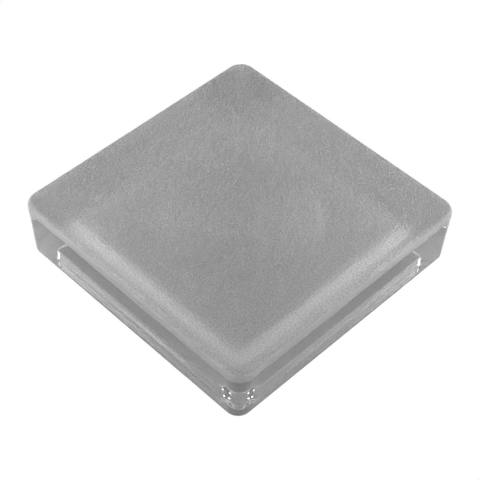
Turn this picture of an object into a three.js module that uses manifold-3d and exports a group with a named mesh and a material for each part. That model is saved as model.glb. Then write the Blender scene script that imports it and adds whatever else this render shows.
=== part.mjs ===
// A solid pressed-glass paving block, of the kind that is laid in walk-on glass floors and roof lights.
//
// It is one piece of glass. The slab is square with rounded corners, its sides taper a little towards the
// underside so that it leaves its mould, and its top edge is rounded. A shallow square recess is pressed into
// the underside, which leaves a flat rim to rest on. Concentric ripples in the recess's ceiling spread the
// light that comes through the block.
//
// Millimetres, +Z up. The origin is the centre of the underside, in the plane of the rim.

import * as THREE from "three";
import { mergeVertices } from "three/addons/utils/BufferGeometryUtils.js";
import Module from "manifold-3d";

// The slab.
const SIDE = 190; // across the flats, at its widest, just under the rounded top edge
const HEIGHT = 42;
const CORNER_RADIUS = 11; // of the corners seen from above
const SIDE_TAPER = 2; // how far each side draws in from its widest place to the underside
const TOP_EDGE_RADIUS = 3.6;
const BOTTOM_EDGE_RADIUS = 1.5;

// The recess in the underside.
const RECESS_WIDTH = 150; // between opposite walls, at the mouth's rounding
const RECESS_DEPTH = 9;
const RECESS_CORNER_RADIUS = 6;
const RECESS_WALL_TAPER = 0.4; // how far each wall draws in from the mouth to the ceiling
const MOUTH_RADIUS = 3; // rounding from the rim into the recess
const CEILING_FILLET = 3; // between the walls and the ceiling

// The ripples in the recess's ceiling.
const RIPPLE_PITCH = 13.3;
const RIPPLE_HEIGHT = 2.4; // from a crest up to the bottom of the next trough
const RIPPLE_MARGIN = 12; // least plain ceiling between the ripples and the recess's fillet

// Fineness of the facets.
const CORNER_STEPS = 8;
const EDGE_STEPS = 6;
const RIPPLE_STEPS = 8; // along one ripple's section
const RIPPLE_SECTORS = 64; // round the ripples

const LEAST_RADIUS = 0.5; // a corner that is offset inwards stays at least this round
const CUT_OVERRUN = 1; // how far a cutting shape runs past the surface it opens

const QUARTER_TURN = Math.PI / 2;

/** The outline of a square with rounded corners, anticlockwise. It has as many points at any size. */
function roundedSquare(halfWidth, cornerRadius) {
  const centre = halfWidth - cornerRadius;
  const outline = new THREE.Shape();
  for (let corner = 0; corner < 4; corner += 1) {
    const signX = corner === 0 || corner === 3 ? 1 : -1;
    const signY = corner < 2 ? 1 : -1;
    const start = corner * QUARTER_TURN;
    outline.absarc(signX * centre, signY * centre, cornerRadius, start, start + QUARTER_TURN);
  }
  return outline.getPoints(CORNER_STEPS / 2); // an arc gives two steps for each division
}

/**
 * A closed solid through rounded squares. The profile gives each one's half width (x) and height (y), from
 * the lowest to the highest. All are parallel offsets of the square whose half width and corner are given.
 */
function loftSquares(profile, halfWidth, cornerRadius) {
  const positions = [];
  for (const level of profile) {
    const radius = Math.max(cornerRadius + level.x - halfWidth, LEAST_RADIUS);
    for (const point of roundedSquare(level.x, radius)) {
      positions.push(point.x, point.y, level.y);
    }
  }
  const count = positions.length / 3 / profile.length;
  const faces = [];
  for (let level = 0; level + 1 < profile.length; level += 1) {
    for (let i = 0; i < count; i += 1) {
      const a = level * count + i;
      const b = level * count + (i + 1) % count;
      faces.push(a, b, b + count);
      faces.push(a, b + count, a + count);
    }
  }
  const top = (profile.length - 1) * count;
  for (let i = 1; i + 1 < count; i += 1) {
    faces.push(0, i + 1, i);
    faces.push(top, top + i, top + i + 1);
  }
  const geometry = new THREE.BufferGeometry();
  geometry.setAttribute("position", new THREE.Float32BufferAttribute(positions, 3));
  geometry.setIndex(faces);
  return geometry;
}

/** The slab without its recess: bottom edge rounding, tapered side, top edge rounding. */
function slabGeometry() {
  const topHalf = SIDE / 2;
  const bottomHalf = topHalf - SIDE_TAPER;
  const profile = new THREE.Path();
  profile.absarc(bottomHalf - BOTTOM_EDGE_RADIUS, BOTTOM_EDGE_RADIUS, BOTTOM_EDGE_RADIUS, -QUARTER_TURN, 0);
  profile.absarc(topHalf - TOP_EDGE_RADIUS, HEIGHT - TOP_EDGE_RADIUS, TOP_EDGE_RADIUS, 0, QUARTER_TURN);
  return loftSquares(profile.getPoints(EDGE_STEPS / 2), topHalf, CORNER_RADIUS);
}

/** What the recess takes away, apart from its ripples: flared mouth, tapered walls, filleted ceiling. */
function recessGeometry() {
  const mouthRadius = Math.min(MOUTH_RADIUS, RECESS_DEPTH / 3);
  const fillet = Math.min(CEILING_FILLET, RECESS_DEPTH / 3);
  const mouthHalf = RECESS_WIDTH / 2;
  const ceilingHalf = mouthHalf - RECESS_WALL_TAPER;
  const profile = new THREE.Path();
  profile.moveTo(mouthHalf + mouthRadius, -CUT_OVERRUN);
  profile.absarc(mouthHalf + mouthRadius, mouthRadius, mouthRadius, -QUARTER_TURN, -2 * QUARTER_TURN, true);
  profile.absarc(ceilingHalf - fillet, RECESS_DEPTH - fillet, fillet, 0, QUARTER_TURN);
  return loftSquares(profile.getPoints(EDGE_STEPS / 2), mouthHalf, RECESS_CORNER_RADIUS);
}

/** What the ripples take away: a disc, let into the recess, whose upper face is a run of soft waves. */
function rippleGeometry() {
  const plainHalf = RECESS_WIDTH / 2 - RECESS_WALL_TAPER - CEILING_FILLET - RIPPLE_MARGIN;
  const ripples = Math.max(Math.floor(plainHalf / RIPPLE_PITCH), 1);
  const steps = ripples * RIPPLE_STEPS;
  const outerRadius = ripples * RIPPLE_PITCH;
  const profile = [new THREE.Vector2(0, RECESS_DEPTH - CUT_OVERRUN)];
  for (let step = steps; step >= 0; step -= 1) {
    const radius = outerRadius * step / steps;
    const phase = 2 * Math.PI * step / RIPPLE_STEPS;
    const rise = RIPPLE_HEIGHT * (1 - Math.cos(phase)) / 2;
    if (step === steps) {
      profile.push(new THREE.Vector2(radius, RECESS_DEPTH - CUT_OVERRUN));
    }
    profile.push(new THREE.Vector2(radius, RECESS_DEPTH + rise));
  }
  return new THREE.LatheGeometry(profile, RIPPLE_SECTORS).rotateX(QUARTER_TURN);
}

const wasm = await Module();
wasm.setup();

/** A closed geometry as a solid that can be joined and cut. */
function toSolid(geometry) {
  const bare = geometry.clone();
  bare.deleteAttribute("normal");
  bare.deleteAttribute("uv");
  const merged = mergeVertices(bare);
  const mesh = new wasm.Mesh({
    numProp: 3,
    vertProperties: new Float32Array(merged.attributes.position.array),
    triVerts: new Uint32Array(merged.index.array),
  });
  return new wasm.Manifold(mesh);
}

/** A solid as geometry again. */
function toGeometry(solid) {
  const mesh = solid.getMesh();
  const geometry = new THREE.BufferGeometry();
  geometry.setAttribute("position", new THREE.Float32BufferAttribute(mesh.vertProperties, 3));
  geometry.setIndex(new THREE.Uint32BufferAttribute(mesh.triVerts, 1));
  geometry.computeVertexNormals();
  return geometry;
}

const hollow = toSolid(recessGeometry()).add(toSolid(rippleGeometry()));
const block = toSolid(slabGeometry()).subtract(hollow);

const glass = new THREE.MeshStandardMaterial({ color: 0x9c9f9d, roughness: 0.35, metalness: 0 });
const glassBlock = new THREE.Mesh(toGeometry(block), glass);
glassBlock.name = "glass_block";

const part = new THREE.Group();
part.add(glassBlock);

export default part;
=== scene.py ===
import math

import bpy
import numpy as np
from mathutils import Matrix, Vector


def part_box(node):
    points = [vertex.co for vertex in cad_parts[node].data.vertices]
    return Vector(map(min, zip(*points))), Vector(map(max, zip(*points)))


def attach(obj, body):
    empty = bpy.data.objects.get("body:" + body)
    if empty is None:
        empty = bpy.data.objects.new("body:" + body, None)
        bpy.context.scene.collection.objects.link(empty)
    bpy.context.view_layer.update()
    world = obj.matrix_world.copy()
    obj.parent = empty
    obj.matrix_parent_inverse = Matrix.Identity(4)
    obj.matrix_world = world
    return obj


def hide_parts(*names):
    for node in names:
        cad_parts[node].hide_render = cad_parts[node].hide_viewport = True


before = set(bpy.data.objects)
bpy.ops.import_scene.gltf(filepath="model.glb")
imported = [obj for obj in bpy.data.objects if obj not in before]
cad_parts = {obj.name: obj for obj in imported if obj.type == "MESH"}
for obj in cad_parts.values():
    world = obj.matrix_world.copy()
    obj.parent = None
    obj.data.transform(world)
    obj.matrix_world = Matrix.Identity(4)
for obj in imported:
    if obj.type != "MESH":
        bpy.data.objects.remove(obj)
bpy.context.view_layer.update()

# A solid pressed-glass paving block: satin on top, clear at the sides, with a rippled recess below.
#
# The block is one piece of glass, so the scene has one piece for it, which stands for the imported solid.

# ---------------------------------------------------------------------------------------------------------
# Driving sizes, in metres. The slab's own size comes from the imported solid.

LOW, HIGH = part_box("glass_block")
SIDE = HIGH.x - LOW.x
HEIGHT = HIGH.z - LOW.z

CORNER_RADIUS = 0.0110  # of the corners seen from above
SIDE_TAPER = 0.0020  # how far each side draws in towards the underside
TOP_EDGE_RADIUS = 0.0036
BOTTOM_EDGE_RADIUS = 0.0015

# The recess in the underside, and the ripples in its ceiling.
RECESS_WIDTH = 0.1500  # between opposite walls, at the mouth's rounding
RECESS_DEPTH = 0.0090
RECESS_CORNER_RADIUS = 0.0060
RECESS_WALL_TAPER = 0.0004  # how far each wall draws in from the mouth to the ceiling
MOUTH_RADIUS = 0.0030  # rounding from the rim into the recess
CEILING_FILLET = 0.0030  # between the walls and the ceiling
RIPPLE_PITCH = 0.0133
RIPPLE_HEIGHT = 0.0024  # from a crest up to the bottom of the next trough
RIPPLE_COUNT = 4

# The slow waves that pressing leaves in the sides. Each has its radians a centimetre along x, y and z, its
# phase and its share.
CENTIMETRE = 0.01
SIDE_WAVE = 0.00003  # greatest height of all of them together
SIDE_WAVES = (
    (1.5, 0.0, 0.7, 0.3, 1.0),
    (0.0, 1.3, -0.9, 1.1, 1.0),
    (2.6, 0.0, -1.6, 0.0, 0.6),
    (0.0, 2.9, 1.9, 2.0, 0.6),
    (0.5, -0.4, 2.2, 0.0, 0.5),
)

# How finely the surfaces are divided.
STRAIGHT_STEPS = 36  # along each straight run of the outline
CORNER_STEPS = 14  # round each corner of the outline
ROUNDING_STEPS = 10  # across each rounded edge
SIDE_STEPS = 16  # down the sides
WALL_STEPS = 5  # up the recess's walls
RIPPLE_STEPS = 14  # along one ripple's section
TOP_RINGS = (0.02, 0.25, 0.5, 0.75, 0.92)  # where the flat top is divided, as shares of its half width
RIM_RINGS = (0.7, 0.35)  # where the flat rim is divided, as shares of its width
CEILING_RING = 0.92  # where the flat ceiling is divided, as a share of its half width
GUIDE_RADIUS = 0.2  # corner radius of the square, 2 wide, that gives a circle's points their directions
SUPPORT = 0.0004  # width of the narrow band that keeps a flat flat beside a rounding
LEAST_RADIUS = 0.0004  # a corner that is offset inwards stays at least this round
WALL_LEAN = 0.1  # how far the recess's walls face down, for each unit that they face inwards
STEEP = 0.5  # a surface whose direction rises or falls by less than this takes the slow waves
WAVE_PROBE = 1e-5  # half the distance over which the slow waves' slope is measured


# ---------------------------------------------------------------------------------------------------------
# Shape.


def outline(half, radius):
    """Points and outward directions round a square with rounded corners, as two arrays."""
    radius = max(radius, LEAST_RADIUS)
    centre = half - radius
    points, normals = [], []
    for quarter in range(4):
        turn = quarter * math.pi / 2
        spin = np.array([[math.cos(turn), -math.sin(turn)], [math.sin(turn), math.cos(turn)]])
        for i in range(STRAIGHT_STEPS):
            along = centre * (2 * i / STRAIGHT_STEPS - 1)
            points.append(spin @ (half, along))
            normals.append(spin @ (1.0, 0.0))
        for i in range(CORNER_STEPS):
            angle = math.pi / 2 * i / CORNER_STEPS
            direction = np.array([math.cos(angle), math.sin(angle)])
            points.append(spin @ (centre + radius * direction))
            normals.append(spin @ direction)
    return np.array(points), np.array(normals)


def circle(radius):
    """As outline(), for a circle, with its points in the directions of a square's outline."""
    square, _ = outline(1.0, GUIDE_RADIUS)
    angles = np.arctan2(square[:, 1], square[:, 0])
    directions = np.column_stack([np.cos(angles), np.sin(angles)])
    return radius * directions, directions


class Loft:
    """Rings of points and of surface directions, from the middle of the top to the middle of the ceiling."""

    def __init__(self):
        self.points, self.normals = [], []

    def ring(self, shape, z, outward, upward):
        """One ring at height z. The last two numbers say which way the surface faces there."""
        flat, directions = shape
        length = math.hypot(outward, upward)
        self.points.append(np.column_stack([flat, np.full(len(flat), z)]))
        self.normals.append(
            np.column_stack([directions * outward / length, np.full(len(flat), upward / length)])
        )

    def square(self, half, radius, z, outward, upward):
        """A ring round a rounded square."""
        self.ring(outline(half, radius), z, outward, upward)

    def circle(self, radius, z, outward, upward):
        """A ring round a circle."""
        self.ring(circle(radius), z, outward, upward)


def add_top(loft):
    """The flat top and its rounded edge, from the middle outwards."""
    flat_half = SIDE / 2 - TOP_EDGE_RADIUS
    flat_radius = CORNER_RADIUS - TOP_EDGE_RADIUS
    for share in TOP_RINGS:
        loft.square(flat_half * share, flat_radius * share, HEIGHT, 0, 1)
    loft.square(flat_half - SUPPORT, flat_radius - SUPPORT, HEIGHT, 0, 1)
    for i in range(ROUNDING_STEPS + 1):
        angle = math.pi / 2 * i / ROUNDING_STEPS
        inset = TOP_EDGE_RADIUS * (1 - math.sin(angle))
        z = HEIGHT - TOP_EDGE_RADIUS * (1 - math.cos(angle))
        loft.square(SIDE / 2 - inset, CORNER_RADIUS - inset, z, math.sin(angle), math.cos(angle))


def side_inset(z):
    """How far the tapered side lies inside the widest place at height z."""
    top, bottom = HEIGHT - TOP_EDGE_RADIUS, BOTTOM_EDGE_RADIUS
    return SIDE_TAPER * (top - z) / (top - bottom)


def add_sides(loft):
    """The tapered sides and their rounded bottom edge."""
    top, bottom = HEIGHT - TOP_EDGE_RADIUS, BOTTOM_EDGE_RADIUS
    lean = -SIDE_TAPER / (top - bottom)
    for z in np.linspace(top, bottom, SIDE_STEPS + 1)[1:]:
        loft.square(SIDE / 2 - side_inset(z), CORNER_RADIUS - side_inset(z), z, 1, lean)
    half = SIDE / 2 - SIDE_TAPER
    radius = CORNER_RADIUS - SIDE_TAPER
    for i in range(1, ROUNDING_STEPS + 1):
        angle = math.pi / 2 * i / ROUNDING_STEPS
        inset = BOTTOM_EDGE_RADIUS * (1 - math.cos(angle))
        z = BOTTOM_EDGE_RADIUS * (1 - math.sin(angle))
        loft.square(half - inset, radius - inset, z, math.cos(angle), -math.sin(angle))


def add_recess(loft):
    """The flat rim, the recess's rounded mouth, its walls and the fillet under its ceiling."""
    mouth = RECESS_WIDTH / 2
    rim = SIDE / 2 - SIDE_TAPER - BOTTOM_EDGE_RADIUS
    rim_radius = CORNER_RADIUS - SIDE_TAPER - BOTTOM_EDGE_RADIUS
    loft.square(rim - SUPPORT, rim_radius - SUPPORT, 0, 0, -1)
    outer = MOUTH_RADIUS + SUPPORT
    for share in RIM_RINGS:
        half = mouth + outer + (rim - mouth - outer) * share
        loft.square(half, RECESS_CORNER_RADIUS + outer, 0, 0, -1)
    loft.square(mouth + outer, RECESS_CORNER_RADIUS + outer, 0, 0, -1)
    for i in range(ROUNDING_STEPS + 1):
        angle = math.pi / 2 * i / ROUNDING_STEPS
        flare = MOUTH_RADIUS * (1 - math.sin(angle))
        z = MOUTH_RADIUS * (1 - math.cos(angle))
        loft.square(mouth + flare, RECESS_CORNER_RADIUS + flare, z, -math.sin(angle), -math.cos(angle))
    top = RECESS_DEPTH - CEILING_FILLET
    for z in np.linspace(MOUTH_RADIUS, top, WALL_STEPS + 1)[1:-1]:
        inset = RECESS_WALL_TAPER * (z - MOUTH_RADIUS) / (top - MOUTH_RADIUS)
        loft.square(mouth - inset, RECESS_CORNER_RADIUS - inset, z, -1, -WALL_LEAN)
    for i in range(ROUNDING_STEPS + 1):
        angle = math.pi / 2 * i / ROUNDING_STEPS
        inset = RECESS_WALL_TAPER + CEILING_FILLET * (1 - math.cos(angle))
        z = top + CEILING_FILLET * math.sin(angle)
        loft.square(mouth - inset, RECESS_CORNER_RADIUS - inset, z, -math.cos(angle), -math.sin(angle))


def add_ceiling(loft):
    """The recess's flat ceiling and the ripples in its middle."""
    edge = RECESS_WIDTH / 2 - RECESS_WALL_TAPER - CEILING_FILLET
    radius = RECESS_CORNER_RADIUS - RECESS_WALL_TAPER - CEILING_FILLET
    loft.square(edge - SUPPORT, radius - SUPPORT, RECESS_DEPTH, 0, -1)
    reach = RIPPLE_COUNT * RIPPLE_PITCH
    loft.square(edge * CEILING_RING, radius, RECESS_DEPTH, 0, -1)
    loft.circle(reach + 2 * SUPPORT, RECESS_DEPTH, 0, -1)
    steps = RIPPLE_COUNT * RIPPLE_STEPS
    for step in range(steps, 0, -1):
        r = reach * step / steps
        phase = 2 * math.pi * r / RIPPLE_PITCH
        rise = RIPPLE_HEIGHT * (1 - math.cos(phase)) / 2
        slope = RIPPLE_HEIGHT * math.pi / RIPPLE_PITCH * math.sin(phase)
        loft.circle(r, RECESS_DEPTH + rise, slope, -1)


def wave_height(points):
    """Slow waves of the pressed sides, as a height at each point. They fade out above and below."""
    x, y, z = (points / CENTIMETRE).T
    waves = sum(
        share * np.sin(along_x * x + along_y * y + along_z * z + phase)
        for along_x, along_y, along_z, phase, share in SIDE_WAVES
    )
    whole = sum(wave[-1] for wave in SIDE_WAVES)
    middle = HEIGHT / 2 / CENTIMETRE
    fade = np.clip(1 - ((z - middle) / middle) ** 4, 0, 1)
    outside = np.maximum(np.abs(x), np.abs(y)) > (SIDE / 2 - 2 * SIDE_TAPER) / CENTIMETRE
    return SIDE_WAVE * waves / whole * fade * outside


def press_waves(points, normals):
    """Moves the steep surfaces by the slow waves, always into the glass, and turns their normals to suit."""
    slope = np.column_stack(
        [
            (wave_height(points + step) - wave_height(points - step)) / (2 * WAVE_PROBE)
            for step in WAVE_PROBE * np.eye(3)
        ]
    )
    slope -= (slope * normals).sum(1)[:, None] * normals
    height = wave_height(points) - SIDE_WAVE
    steep = np.abs(normals[:, 2]) < STEEP
    moved = points + normals * (height * steep)[:, None]
    turned = normals - slope * steep[:, None]
    return moved, turned / np.linalg.norm(turned, axis=1)[:, None]


def skin_faces(rows, count):
    """Faces between the rows of points, and from the first and last row to the two points after them all."""
    faces = []
    for row in range(rows - 1):
        a, b = row * count, (row + 1) * count
        for i in range(count):
            j = (i + 1) % count
            faces.append((a + i, b + i, b + j, a + j))
    last = (rows - 1) * count
    top_middle = rows * count
    ceiling_middle = top_middle + 1
    for i in range(count):
        j = (i + 1) % count
        faces.append((top_middle, i, j))
        faces.append((ceiling_middle, last + j, last + i))
    return faces


def build_mesh(name):
    """The whole skin as one closed mesh with exact normals."""
    loft = Loft()
    add_top(loft)
    add_sides(loft)
    add_recess(loft)
    add_ceiling(loft)
    points = np.vstack(loft.points + [[(0, 0, HEIGHT)], [(0, 0, RECESS_DEPTH)]])
    normals = np.vstack(loft.normals + [[(0, 0, 1)], [(0, 0, -1)]])
    points, normals = press_waves(points, normals)
    faces = skin_faces(len(loft.points), len(loft.points[0]))
    mesh = bpy.data.meshes.new(name)
    mesh.from_pydata(points.tolist(), [], faces)
    mesh.polygons.foreach_set("use_smooth", [True] * len(faces))
    mesh.update()
    mesh.normals_split_custom_set_from_vertices(normals.tolist())
    return mesh


# ---------------------------------------------------------------------------------------------------------
# Materials.

GLASS_IOR = 1.52
GLASS_DENSITY = 5.5  # how strongly the glass body darkens what is seen through it, per metre: painted shade, darker than clear glass, standing in for dimmer surroundings

# The satin finish, and where it ends on the sides.
SATIN_DEPTH = 0.0062  # from the top down to its border
SATIN_WANDER = 0.0003  # how far the border strays up and down
SATIN_FADE = 0.0002  # how softly the satin ends there
BORDER_SCALE = 60.0  # strayings a metre, about
BORDER_DETAIL = 3.0  # how many finer layers they have
SATIN_ROUGHNESS = 0.62  # of the top face, at the middle of its grain
EDGE_ROUGHNESS = 0.65  # of the rounded edge and the band under it, which have no grain in their roughness
HAZE = 0.13  # share of the satin's light that scatters at the surface instead of going through

# The grain of the top face: soft humps in the surface, rougher where the surface is low, and darker there by
# painted shade.
GRAIN_SCALE = 1000.0  # humps a metre, about
GRAIN_DETAIL = 1.0  # how many finer layers they have
GRAIN_DISTANCE = 0.0005  # relief, in metres, for each unit of the noise
GRAIN_LOW = 0.4  # the noise's value that counts as low
GRAIN_HIGH = 0.6  # and the one that counts as high
GRAIN_SPREAD = 0.25  # how much rougher the low places are, and how much smoother the high ones
GRAIN_SHADE = 0.72  # colour of the low places, a painted shade in the grain's pits, where the high ones have 1
GRAIN_EDGE = 0.0012  # how far down the rounded edge the grain's tone and roughness fade out

# The facets: small cells in the grain, each with a painted tone of its own that stands in for a tiny facet's
# shade and sparkle, and the palest of them white specks.
FACET_SCALE = 1700.0  # facets a metre, about
FACET_SHADE = 0.84  # colour of the darkest, painted shade, where the palest has 1
SPECK_LOW = 0.88  # a facet's value, from 0 to 1, from which it is a speck
SPECK_HIGH = 1.0  # and the value at which it is the whitest
SPECK_HAZE = 0.5  # what the whitest speck adds to the haze

FLOOR_TONE = 0.8  # colour of the floor, for the light that it throws back
SHADOW_FADE = 0.04  # width of the painted shadow edge, just outside the block, where the shaded floor turns white


def new_material(name):
    """An empty material, its node tree and its output node."""
    material = bpy.data.materials.new(name)
    material.use_nodes = True
    tree = material.node_tree
    tree.nodes.clear()
    output = tree.nodes.new("ShaderNodeOutputMaterial")
    return material, tree, output


def place_on_object(tree):
    """The object's own coordinates, as a vector."""
    return tree.nodes.new("ShaderNodeTexCoord").outputs["Object"]


def axes(tree):
    """The object's own coordinates, as outputs called X, Y and Z."""
    split = tree.nodes.new("ShaderNodeSeparateXYZ")
    tree.links.new(place_on_object(tree), split.inputs["Vector"])
    return split.outputs


def noise(tree, scale, detail):
    """Smooth random values, most of them between 0.25 and 0.75."""
    texture = tree.nodes.new("ShaderNodeTexNoise")
    texture.inputs["Scale"].default_value = scale
    texture.inputs["Detail"].default_value = detail
    tree.links.new(place_on_object(tree), texture.inputs["Vector"])
    return texture.outputs["Fac"]


def cells(tree, scale):
    """A random value from 0 to 1 for each of many small irregular cells."""
    texture = tree.nodes.new("ShaderNodeTexVoronoi")
    texture.inputs["Scale"].default_value = scale
    tree.links.new(place_on_object(tree), texture.inputs["Vector"])
    split = tree.nodes.new("ShaderNodeSeparateColor")
    tree.links.new(texture.outputs["Color"], split.inputs["Color"])
    return split.outputs["Red"]


def connect(tree, values, sockets):
    """Gives each socket its value, which may be a number or another node's output."""
    for value, socket in zip(values, sockets):
        if isinstance(value, bpy.types.NodeSocket):
            tree.links.new(value, socket)
        else:
            socket.default_value = value


def math_node(tree, operation, *values):
    """The result of one operation on numbers and outputs."""
    node = tree.nodes.new("ShaderNodeMath")
    node.operation = operation
    connect(tree, values, node.inputs)
    return node.outputs[0]


def between(tree, value, low_in, high_in, low_out, high_out, smooth=True):
    """value, mapped from one range to another and held at its ends."""
    node = tree.nodes.new("ShaderNodeMapRange")
    node.interpolation_type = "SMOOTHSTEP" if smooth else "LINEAR"
    sockets = [node.inputs[name] for name in ("Value", "From Min", "From Max", "To Min", "To Max")]
    connect(tree, (value, low_in, high_in, low_out, high_out), sockets)
    return node.outputs["Result"]


def blend(tree, share, low, high):
    """low where share is 0 and high where it is 1. Each of the two may be a number or an output."""
    node = tree.nodes.new("ShaderNodeMix")
    connect(tree, (share, low, high), [node.inputs[name] for name in ("Factor", "A", "B")])
    return node.outputs[0]


def satin_mask(tree):
    """1 where the glass is satin, at the top, and 0 below a softly wandering border."""
    swing = 4 * SATIN_WANDER  # the noise keeps to the middle half of its range
    slow = noise(tree, BORDER_SCALE, BORDER_DETAIL)
    border = math_node(tree, "MULTIPLY_ADD", slow, swing, HEIGHT - SATIN_DEPTH - swing / 2)
    above = math_node(tree, "SUBTRACT", axes(tree)["Z"], border)
    return between(tree, above, -SATIN_FADE, SATIN_FADE, 0.0, 1.0)


def face_mask(tree):
    """1 on the flat top and 0 from a little way down its rounded edge."""
    return between(tree, axes(tree)["Z"], HEIGHT - GRAIN_EDGE, HEIGHT, 0.0, 1.0)


def clear_share(tree, satin, face, facets):
    """The share of light that goes through: less where the glass is satin, and least at the white specks."""
    specks = between(tree, facets, SPECK_LOW, SPECK_HIGH, HAZE, HAZE + SPECK_HAZE, smooth=False)
    haze = blend(tree, face, HAZE, specks)
    return math_node(tree, "SUBTRACT", 1.0, math_node(tree, "MULTIPLY", satin, haze))


def satin_roughness(tree, satin, face, grain):
    """Roughness that follows the grain on the top face, is even on the edge and is 0 on the clear glass."""
    low, high = SATIN_ROUGHNESS + GRAIN_SPREAD, SATIN_ROUGHNESS - GRAIN_SPREAD
    etched = between(tree, grain, GRAIN_LOW, GRAIN_HIGH, low, high, smooth=False)
    return math_node(tree, "MULTIPLY", satin, blend(tree, face, EDGE_ROUGHNESS, etched))


def grain_painted_shade(tree, face, grain, facets):
    """Painted shade of the etched grain: a grey for each place of the grain and each facet of the top face,
    darker in the grain's low places and on the darker facets, and white elsewhere.
    """
    humps = between(tree, grain, GRAIN_LOW, GRAIN_HIGH, GRAIN_SHADE, 1.0, smooth=False)
    facet = between(tree, facets, 0.0, 1.0, FACET_SHADE, 1.0, smooth=False)
    elsewhere = math_node(tree, "SUBTRACT", 1.0, face)
    level = math_node(tree, "MAXIMUM", math_node(tree, "MULTIPLY", humps, facet), elsewhere)
    grey = tree.nodes.new("ShaderNodeCombineColor")
    for channel in ("Red", "Green", "Blue"):
        tree.links.new(level, grey.inputs[channel])
    return grey.outputs["Color"]


def grain_relief(tree, satin, grain):
    """The grain's humps, as a surface direction, wherever the glass is satin."""
    relief = tree.nodes.new("ShaderNodeBump")
    relief.inputs["Distance"].default_value = GRAIN_DISTANCE
    tree.links.new(satin, relief.inputs["Strength"])
    tree.links.new(grain, relief.inputs["Height"])
    return relief.outputs["Normal"]


def glass_body(tree):
    """The inside of the glass, which takes a little of the light that crosses it: a painted shade that makes
    the clear glass read darker, as in dimmer surroundings.
    """
    body = tree.nodes.new("ShaderNodeVolumeAbsorption")
    body.inputs["Color"].default_value = (0.0, 0.0, 0.0, 1.0)
    body.inputs["Density"].default_value = GLASS_DENSITY
    return body.outputs["Volume"]


def block_glass():
    """The block's one glass: etched to a fine sparkling grain above, fire-polished below."""
    material, tree, output = new_material("satin_and_clear_glass")
    satin, face = satin_mask(tree), face_mask(tree)
    grain, facets = noise(tree, GRAIN_SCALE, GRAIN_DETAIL), cells(tree, FACET_SCALE)
    shader = tree.nodes.new("ShaderNodeBsdfPrincipled")
    shader.inputs["IOR"].default_value = GLASS_IOR
    # The base colour carries the painted shade of the grain and its facets.
    tree.links.new(grain_painted_shade(tree, face, grain, facets), shader.inputs["Base Color"])
    tree.links.new(satin_roughness(tree, satin, face, grain), shader.inputs["Roughness"])
    tree.links.new(clear_share(tree, satin, face, facets), shader.inputs["Transmission Weight"])
    tree.links.new(grain_relief(tree, satin, grain), shader.inputs["Normal"])
    tree.links.new(shader.outputs["BSDF"], output.inputs["Surface"])
    tree.links.new(glass_body(tree), output.inputs["Volume"])
    return material


def outside_block(tree):
    """0 on the floor under the block and 1 away from it, with a soft border between: a painted shadow edge,
    where the white that the glass sees fades into the shaded paper.
    """
    place = axes(tree)
    x = math_node(tree, "ABSOLUTE", place["X"])
    y = math_node(tree, "ABSOLUTE", place["Y"])
    reach = math_node(tree, "MAXIMUM", x, y)
    return between(tree, reach, SIDE / 2, SIDE / 2 + SHADOW_FADE, 0.0, 1.0)


def floor_material():
    """A white floor, to the camera and in the glass, that keeps the block's shadow under the block, with a
    painted shadow edge round it in the glass.
    """
    material, tree, output = new_material("floor")
    paper = tree.nodes.new("ShaderNodeBsdfDiffuse")
    paper.inputs["Color"].default_value = (FLOOR_TONE, FLOOR_TONE, FLOOR_TONE, 1.0)
    white = tree.nodes.new("ShaderNodeEmission")
    white.inputs["Color"].default_value = (1.0, 1.0, 1.0, 1.0)
    path = tree.nodes.new("ShaderNodeLightPath")
    through = math_node(tree, "MAXIMUM", path.outputs["Is Glossy Ray"], path.outputs["Is Transmission Ray"])
    # The glass sees glowing white away from the block, fading to the paper over a painted shadow edge.
    lit = math_node(tree, "MULTIPLY", through, outside_block(tree))
    share = math_node(tree, "MAXIMUM", path.outputs["Is Camera Ray"], lit)
    mix = tree.nodes.new("ShaderNodeMixShader")
    tree.links.new(share, mix.inputs["Fac"])
    tree.links.new(paper.outputs["BSDF"], mix.inputs[1])
    tree.links.new(white.outputs["Emission"], mix.inputs[2])
    tree.links.new(mix.outputs["Shader"], output.inputs["Surface"])
    return material


# ---------------------------------------------------------------------------------------------------------
# Surroundings.

POWER_PER_BRIGHTNESS = math.pi  # watts a square metre that make an area lamp as bright as 1
AMBIENT = 0.38  # brightness of the room all round the block

# Softboxes round the block. Each has its bearing and elevation in degrees, its distance, width and height in
# widths of the block, and its brightness, where 1 is white.
SOFTBOXES = {
    "left_softbox": (320, 16, 2.1, 2.3, 1.0, 4.7),
    "right_softbox": (131, 16, 2.1, 2.3, 1.0, 4.4),
    "back_left_softbox": (276, 50, 2.1, 1.2, 1.1, 2.05),
    "back_right_softbox": (172, 44, 2.1, 1.2, 1.0, 2.2),
}

FLOOR_REACH = 20.0  # from the block's middle to the floor's edges
FLOOR_DROP = 0.0002  # gap between the floor and the block's underside

# The camera looks down at the block's middle, nearly over one corner.
CAMERA_BEARING = 43.92  # degrees
CAMERA_ELEVATION = 48.51
CAMERA_ROLL = 1.81
CAMERA_DISTANCE = 4.60  # in widths of the block
CAMERA_ACROSS = 0.0010  # how far it is moved to its own right, in widths of the block
CAMERA_UP = -0.0440  # and upwards
FOCAL_LENGTH = 1407.0  # in pixels of a picture that is PICTURE_WIDTH wide
PICTURE_WIDTH = 480.0
SENSOR_WIDTH = 36.0  # millimetres

# Glass this deep needs more bounces than Blender gives by default.
GLASS_BOUNCES = 24
GLOSSY_BOUNCES = 16
DIFFUSE_BOUNCES = 6


def direction(bearing, elevation):
    """The way from the block to a place seen at these angles. A bearing of 0 is the front, towards -Y."""
    a, e = math.radians(bearing), math.radians(elevation)
    return Vector((math.sin(a) * math.cos(e), -math.cos(a) * math.cos(e), math.sin(e)))


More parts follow.
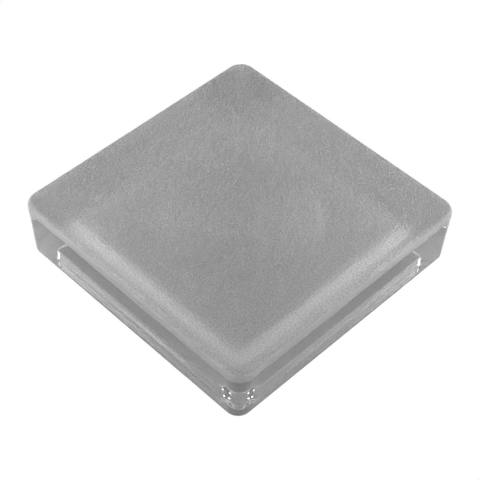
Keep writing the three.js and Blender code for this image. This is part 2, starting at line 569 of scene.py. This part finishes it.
def build_world():
    """A plain room: an even soft light, which the camera sees as white."""
    world = bpy.data.worlds.new("studio")
    bpy.context.scene.world = world
    world.use_nodes = True
    tree = world.node_tree
    tree.nodes.clear()
    soft = tree.nodes.new("ShaderNodeBackground")
    soft.inputs["Color"].default_value = (1.0, 1.0, 1.0, 1.0)
    soft.inputs["Strength"].default_value = AMBIENT
    white = tree.nodes.new("ShaderNodeBackground")
    white.inputs["Color"].default_value = (1.0, 1.0, 1.0, 1.0)
    path = tree.nodes.new("ShaderNodeLightPath")
    mix = tree.nodes.new("ShaderNodeMixShader")
    output = tree.nodes.new("ShaderNodeOutputWorld")
    tree.links.new(path.outputs["Is Camera Ray"], mix.inputs["Fac"])
    tree.links.new(soft.outputs["Background"], mix.inputs[1])
    tree.links.new(white.outputs["Background"], mix.inputs[2])
    tree.links.new(mix.outputs["Shader"], output.inputs["Surface"])


def build_softbox(name, bearing, elevation, distance, width, height, brightness):
    """A flat lamp that faces the block. Its power follows from its size and brightness."""
    data = bpy.data.lights.new(name, "AREA")
    data.shape = "RECTANGLE"
    data.size = width * SIDE
    data.size_y = height * SIDE
    data.energy = POWER_PER_BRIGHTNESS * brightness * data.size * data.size_y
    lamp = bpy.data.objects.new(name, data)
    lamp.location = direction(bearing, elevation) * distance * SIDE
    lamp.rotation_euler = (-lamp.location).to_track_quat("-Z", "Y").to_euler()
    lamp.visible_camera = False
    bpy.context.scene.collection.objects.link(lamp)


def build_floor():
    """A wide flat floor, just clear of the block."""
    reach = FLOOR_REACH
    z = LOW.z - FLOOR_DROP
    corners = [(-reach, -reach, z), (reach, -reach, z), (reach, reach, z), (-reach, reach, z)]
    mesh = bpy.data.meshes.new("floor")
    mesh.from_pydata(corners, [], [(0, 1, 2, 3)])
    mesh.materials.append(floor_material())
    floor = bpy.data.objects.new("floor", mesh)
    bpy.context.scene.collection.objects.link(floor)


def build_camera():
    """The camera, placed by its bearing, elevation and distance, moved a little sideways, and rolled."""
    roll = math.radians(CAMERA_ROLL)
    back = direction(CAMERA_BEARING, CAMERA_ELEVATION)
    level = (-back).cross(Vector((0, 0, 1))).normalized()
    upright = level.cross(-back)
    right = math.cos(roll) * level + math.sin(roll) * upright
    up = math.cos(roll) * upright - math.sin(roll) * level
    offset = back * CAMERA_DISTANCE + right * CAMERA_ACROSS + up * CAMERA_UP
    place = offset * SIDE + Vector((0, 0, HEIGHT / 2))
    data = bpy.data.cameras.new("camera")
    data.sensor_width = SENSOR_WIDTH
    data.lens = FOCAL_LENGTH * SENSOR_WIDTH / PICTURE_WIDTH
    camera = bpy.data.objects.new("camera", data)
    camera.matrix_world = Matrix(
        (
            (right.x, up.x, back.x, place.x),
            (right.y, up.y, back.y, place.y),
            (right.z, up.z, back.z, place.z),
            (0, 0, 0, 1),
        )
    )
    bpy.context.scene.collection.objects.link(camera)
    bpy.context.scene.camera = camera


def build_block():
    """The glass block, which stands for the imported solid."""
    mesh = build_mesh("satin_glass_block")
    mesh.materials.append(block_glass())
    block = bpy.data.objects.new("satin_glass_block", mesh)
    bpy.context.scene.collection.objects.link(block)
    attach(block, "root")
    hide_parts("glass_block")


def set_render():
    """Plain colours, and bounces enough for deep glass."""
    scene = bpy.context.scene
    scene.view_settings.view_transform = "Standard"
    scene.cycles.max_bounces = GLASS_BOUNCES
    scene.cycles.transmission_bounces = GLASS_BOUNCES
    scene.cycles.glossy_bounces = GLOSSY_BOUNCES
    scene.cycles.diffuse_bounces = DIFFUSE_BOUNCES


build_block()
build_floor()
build_world()
for softbox, values in SOFTBOXES.items():
    build_softbox(softbox, *values)
build_camera()
set_render()
